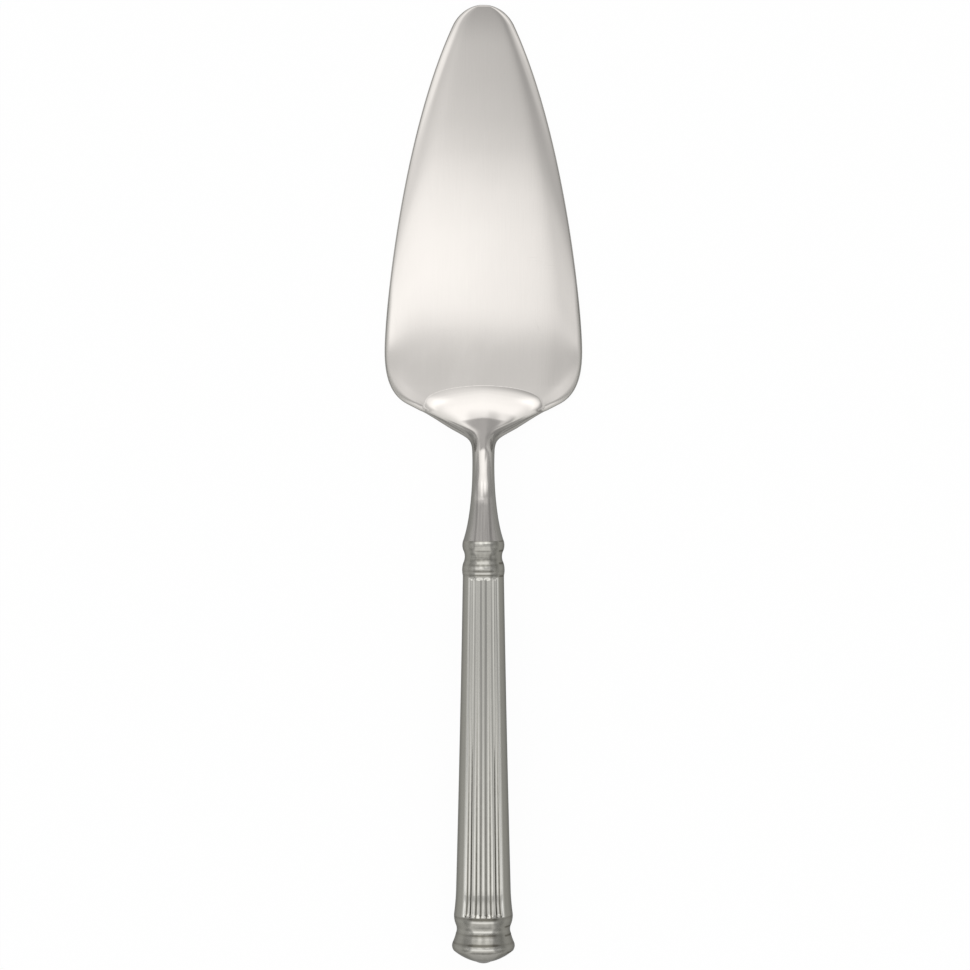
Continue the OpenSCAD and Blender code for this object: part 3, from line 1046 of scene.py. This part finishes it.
    def _press(self, v: bmesh.types.BMVert, flank_shade: bmesh.types.BMLayerItem,
               painted_light: bmesh.types.BMLayerItem) -> None:
        """Moves one point of the outer skin into its flute and notes its painted shade and painted
        highlight.

        Args:
            v: the point.
            flank_shade: layer for the share of the painted shade on the flanks.
            painted_light: layer for the painted shade, negative where a painted highlight lies on
                the outer ridges.
        """
        z, r, turn = v.co.z, math.hypot(v.co.x, v.co.y), math.atan2(v.co.x, v.co.y)
        fluted = self.flute_from < z < self.flute_to
        # Share of the painted shade on the flanks, a little less on the left
        v[flank_shade] = between(abs(turn), *(self.fluted_flank_at if fluted else self.flank_at))
        v[flank_shade] *= self.left_flank if turn < 0 else 1.0
        if not fluted:
            # Painted shade of the rings, cuff and pommel, less on the flanks, and at least that of
            # the specks by the creases
            near = min(abs(z - crease) for crease in self.creases)
            speck = self.speck * between(turn, *self.speck_at) * bell(near, 0.0, self.speck_w)
            v[painted_light] = max(self.face_shade(z) * (1 - self.flank_loss * v[flank_shade]), speck)
            return
        if r < self.shaft_r(z) - self.wall / 2:
            return
        low = between(z, self.flute_from, self.flute_to)
        keep = 1 - self.flute(turn, z) * mix(self.top_depth, self.low_depth, low) / r
        v.co.x *= keep
        v.co.y *= keep
        inset, gleam_w = self.gleam_at
        ridge = self.pitch * self.flute_count / 2 - inset
        gleam = mix(*self.gleam, low) * bell(abs(turn), ridge, gleam_w)
        shade = mix(*self.wall_shade, low) * bell(abs(self.across(turn)), *self.wall_at)
        # Painted shade in the flute walls, less the painted highlight on the outer ridges
        v[painted_light] = shade - gleam


@dataclass(frozen=True)
class Patch:
    """Part of the room that is lighter or darker than the rest, with soft borders.

    A border gives the direction's part along X or Y where the patch begins and where it is full.
    """

    change: float
    across: Sequence[Point]
    along: Sequence[Point]
    both_sides: bool = False
    both_ends: bool = False

    def wire(self, x: Wire, y: Wire) -> Wire:
        """Change of the brightness in a direction.

        Args:
            x: the direction's part along X.
            y: its part along Y.

        Returns:
            The change as a share of the brightness.
        """
        x, y = abs(x) if self.both_sides else x, abs(y) if self.both_ends else y
        borders = [x.ease(*b) for b in self.across] + [y.ease(*b) for b in self.along]
        return self.change * reduce(mul, borders)


@dataclass
class Studio:
    """White floor, soft light all round and a camera straight above."""

    height: float = 1.0
    centre: Point = (0.00044, -0.0008)
    view_w: float = 0.2683
    floor_half: float = 1.6
    floor_gap: float = 0.00007
    lens_half: Point = (0.05, 0.018)
    lens_y: float = -0.03
    lens_soft: Point = (1.3, 0.6)
    lens_dim: float = 0.5
    least: float = 0.5
    least_within: Point = (0.95, 0.7)

    # Brightness against the angle in degrees from overhead, from the pommel side to the tip side
    ALONG = (
        (-90.0, 0.6), (-60.5, 0.65), (-46.0, 1.2), (-30.0, 1.35), (-17.5, 1.3), (-8.0, 1.45),
        (-6.6, 0.95), (-5.7, 0.7), (-3.7, 0.68), (-2.6, 1.15), (0.5, 1.1), (1.5, 1.0), (9.2, 0.94),
        (11.5, 1.02), (14.8, 1.14), (20.5, 1.32), (26.7, 1.46), (36.9, 1.55), (48.6, 1.62),
        (59.9, 1.62), (75.0, 1.62), (90.0, 1.6),
    )
    # The same in the narrow band that the flat of the blade mirrors, against the part along Y
    BAND = (
        (0.022, 0.98), (0.034, 0.92), (0.039, 0.94), (0.043, 1.1), (0.047, 1.38), (0.052, 1.54),
        (0.061, 1.58), (0.069, 1.55), (0.081, 1.44), (0.088, 1.3), (0.096, 1.1), (0.104, 0.99),
        (0.115, 0.92), (0.123, 0.88), (0.131, 0.86), (0.138, 0.86), (0.155, 0.95),
    )
    BAND_W, BAND_FROM, BAND_TO = 0.16, (0.012, 0.024), (0.16, 0.15)
    # Share of it against the part along X, which is drawn in towards the far end
    ACROSS = (
        (-1.0, 0.45), (-0.9, 0.45), (-0.7, 0.42), (-0.57, 0.44), (-0.46, 0.97), (0.0, 1.0),
        (0.39, 0.95), (0.5, 0.43), (0.7, 0.4), (0.9, 0.3), (1.0, 0.22),
    )
    SPREAD, DRAWN_IN, DRAWN_AT = 0.36, 0.14, (0.35, 0.7)
    # Share of it towards the dim far end of the room, against the direction's height
    HORIZON = ((0.0, 0.36), (0.03, 0.38), (0.05, 0.5), (0.075, 0.75), (0.11, 0.95), (0.16, 1.0))
    FAR_AT, FAR_SIDES_AT, FAR_SIDES = (0.45, 0.75), (0.28, 0.42), 0.75
    PEAK = 2.0
    # Falling light on the right and by the heel, and a lift on the left
    FALLS = (
        Patch(-0.33, ((-0.02, 0.06),), ((0.042, 0.055), (0.3, 0.15))),
        Patch(-0.14, ((0.012, 0.03),), ((0.016, 0.028), (0.055, 0.042))),
        Patch(0.08, ((0.0, -0.025),), ((0.07, 0.1), (0.3, 0.15))),
    )
    # Side panels, light at the ends of the scoop, and the dark corner beyond the tip
    PANELS = (
        Patch(0.9, ((0.72, 0.92),), ((0.35, 0.15),), both_sides=True, both_ends=True),
        Patch(0.35, ((0.07, 0.16), (0.42, 0.3)), ((0.09, 0.16), (0.6, 0.4)), both_sides=True),
        Patch(-0.55, ((0.08, 0.3),), ((0.84, 0.93),)),
    )

    def light(self) -> None:
        """Makes the world: soft panels before and behind, dim sides, and the dark lens above."""
        world = bpy.data.worlds.new("studio")
        world.use_nodes = True
        bpy.context.scene.world = world
        board = Board(world.node_tree)
        x, y, z = board.split(board.node("ShaderNodeTexCoord", {}, {}, "Generated"))
        angle = board.math("ARCSINE", y, 0.0) / math.pi + 0.5
        along = board.ramp(angle, [(a / 180 + 0.5, v / self.PEAK) for a, v in self.ALONG])
        band = board.ramp(y / self.BAND_W, [(p / self.BAND_W, v / self.PEAK) for p, v in self.BAND])
        along = board.blend(y.ease(*self.BAND_FROM) * y.ease(*self.BAND_TO), along, band)
        aside = x * (self.SPREAD + self.DRAWN_IN * y.ease(*self.DRAWN_AT)) + 0.5
        across = board.ramp(aside, [((p + 1) / 2, v / self.PEAK) for p, v in self.ACROSS])
        far = board.ramp(z, self.HORIZON)
        middle = 1.0 - self.FAR_SIDES * abs(x).ease(*self.FAR_SIDES_AT)
        dim = 1.0 - y.ease(*self.FAR_AT) * middle * (1.0 - far)
        level = along * across * sum((fall.wire(x, y) for fall in self.FALLS), 1.0)
        level = reduce(mul, (1.0 + panel.wire(x, y) for panel in self.PANELS), level)
        level = level * dim * (self.PEAK * self.PEAK)
        level = level.most(self.least * abs(x).ease(*self.least_within))
        off_x, off_y = x / self.lens_half[0], (y - self.lens_y) / self.lens_half[1]
        lens = (off_x * off_x + off_y * off_y).ease(*self.lens_soft) * z.ease(0.0, 0.5)
        level = level * (1.0 - self.lens_dim * lens)
        glow = board.node("ShaderNodeBackground", {}, {"Color": board.grey(level), "Strength": 1.0})
        board.node("ShaderNodeOutputWorld", {}, {"Surface": glow})

    def floor(self) -> bpy.types.Object:
        """Makes the floor."""
        bm = bmesh.new()
        bmesh.ops.create_grid(bm, x_segments=8, y_segments=8, size=self.floor_half / MM)
        bmesh.ops.translate(bm, vec=(0.0, 0.0, -self.floor_gap / MM), verts=bm.verts)
        made = finish_mesh(bm, "floor", 30.0)
        made.data.materials.append(PaleFloor().material())
        return made

    def camera(self) -> bpy.types.Object:
        """Makes the camera, which looks straight down with the tip at the top of the picture."""
        lens = bpy.data.cameras.new("camera")
        lens.sensor_width = 36.0
        lens.lens = lens.sensor_width * self.height / self.view_w
        made = bpy.data.objects.new("camera", lens)
        made.location = (*self.centre, self.height)
        bpy.context.scene.collection.objects.link(made)
        bpy.context.scene.camera = made
        bpy.context.scene.view_settings.view_transform = "Standard"
        return made


def settle(piece: bpy.types.Object, node: str, made: bpy.types.Material) -> None:
    """Puts a new piece in the place of a CAD node and reports it.

    Args:
        piece: the new piece.
        node: the CAD node that it stands for.
        made: the piece's material.
    """
    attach(piece, BODY)
    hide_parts(node)
    dress(piece, made)
    LOG.info("%s: %d faces", piece.name, len(piece.data.polygons))


def main() -> None:
    """Builds the server piece by piece, and the studio around it."""
    logging.basicConfig(level=logging.INFO)
    studio = Studio()
    studio.camera()
    studio.light()
    studio.floor()

    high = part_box("blade")[1]
    sizes = Shared()
    slope = sizes.slope()
    swan = Swan(slope=slope, hang=sizes.mouth_r - sizes.blade_t, joint_h=sizes.joint_h)
    blade = Blade(half_w=high.x / MM, tip_y=high.y / MM, swan=swan,
                  mid_t=sizes.blade_t, mouth_r=sizes.mouth_r)
    settle(blade.build(), "blade", BladeSteel().material())

    handle = Handle(joint_y=blade.joint_y, joint_h=sizes.joint_h, slope=slope,
                    length=sizes.handle_l, mouth_r=sizes.mouth_r, pommel_r=sizes.pommel_r)
    polish = HandleSteel().material()
    for side, node in ((Side.FRONT, "handle_front_shell"), (Side.BACK, "handle_back_shell")):
        settle(handle.build(side), node, polish)

    for node, slot, finish in (("seam_braze", Slot.BRAZE, BrazeMetal()),
                               ("handle_cement", Slot.CEMENT, SettingCement())):
        dress(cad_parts[node], finish.material())
        LOG.info("%s: CAD node with its own finish", node)


if __name__ == "__main__":
    main()
